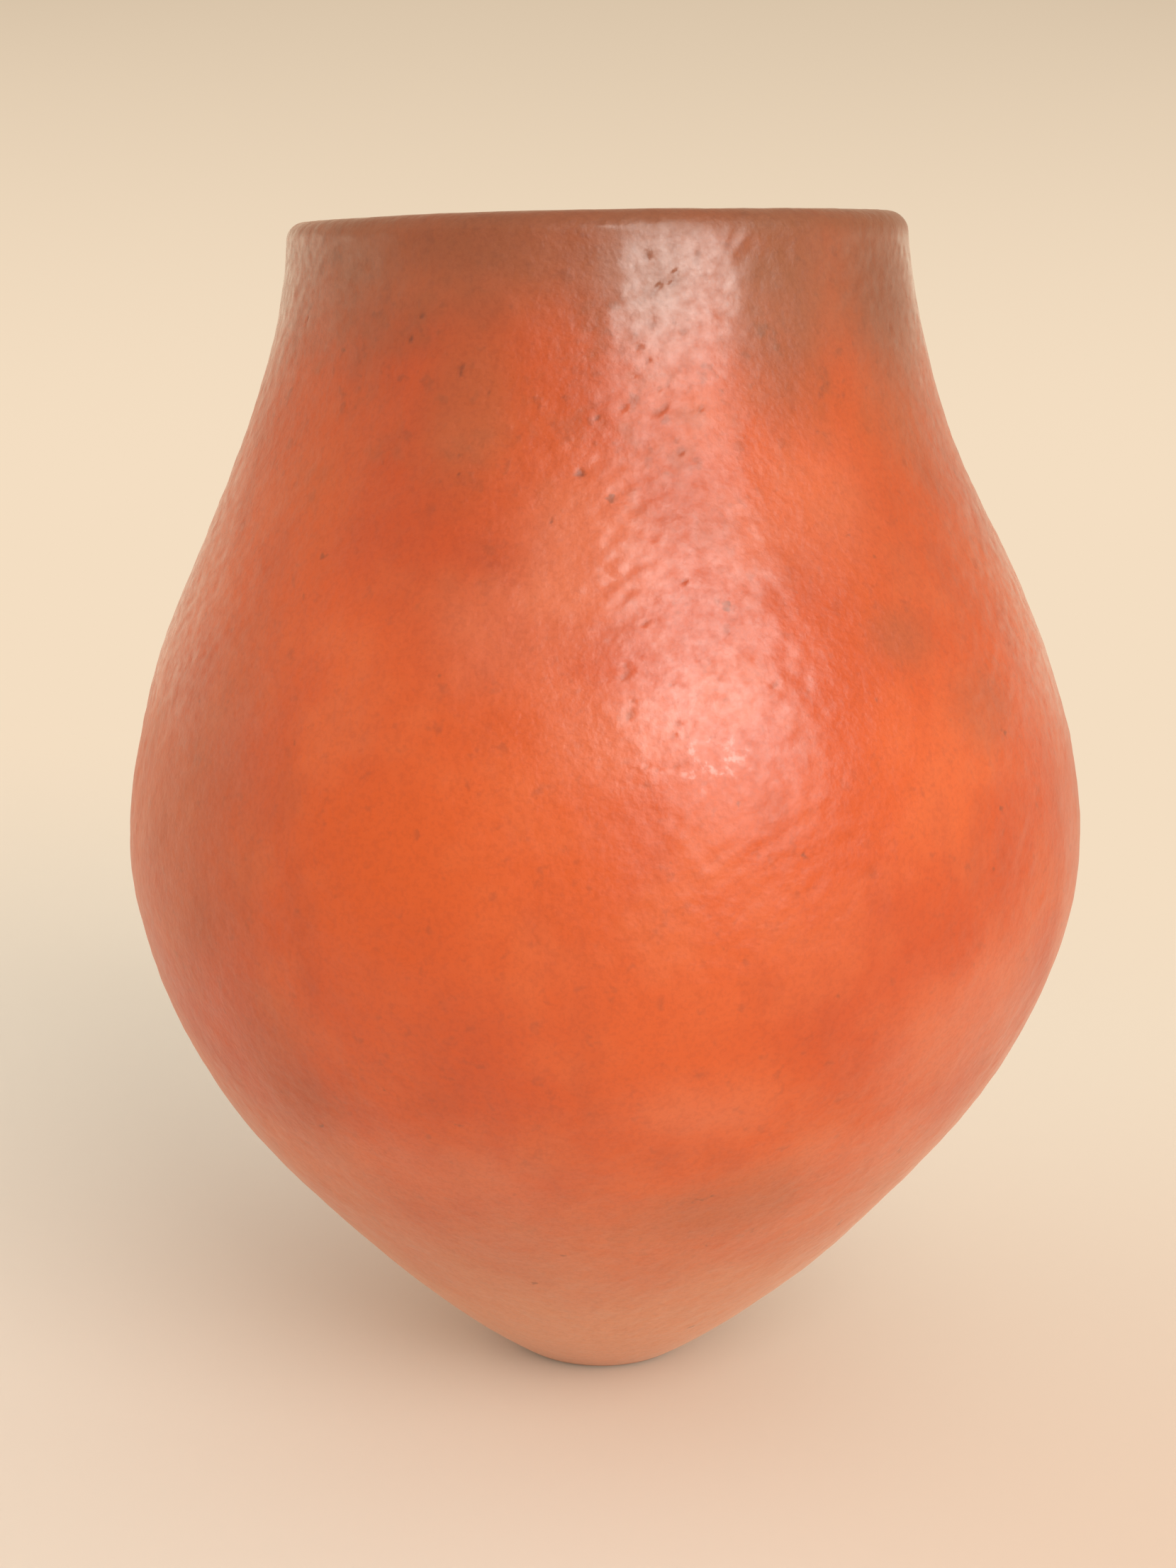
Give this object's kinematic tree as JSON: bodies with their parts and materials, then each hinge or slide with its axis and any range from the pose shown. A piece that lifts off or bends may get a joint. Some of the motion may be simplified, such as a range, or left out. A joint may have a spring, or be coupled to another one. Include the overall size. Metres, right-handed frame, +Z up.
{
  "type": "mexican olla",
  "caption": "Coil-built round-bellied clay pot with a burnished orange slip, a drawn-in neck, a full round lip and a small flat foot.",
  "frame": {"origin": "middle of the foot, on the surface that the pot stands on", "axes": "+Z up; the neck leans 1.2 degrees towards -X; the picture looks along +Y"},
  "size_m": [0.165, 0.165, 0.202],
  "materials": {
    "burnished_clay": "hand-burnished orange-red clay slip, half gloss, with darker fire clouds; bare wiped clay inside"
  },
  "bodies": {
    "root": {"base_cup": "burnished_clay", "lower_wall_coil": "burnished_clay", "lower_belly_coil": "burnished_clay", "belly_coil": "burnished_clay", "shoulder_coil": "burnished_clay", "upper_shoulder_coil": "burnished_clay", "neck_coil": "burnished_clay", "rim_coil": "burnished_clay"}
  },
  "joints": []
}
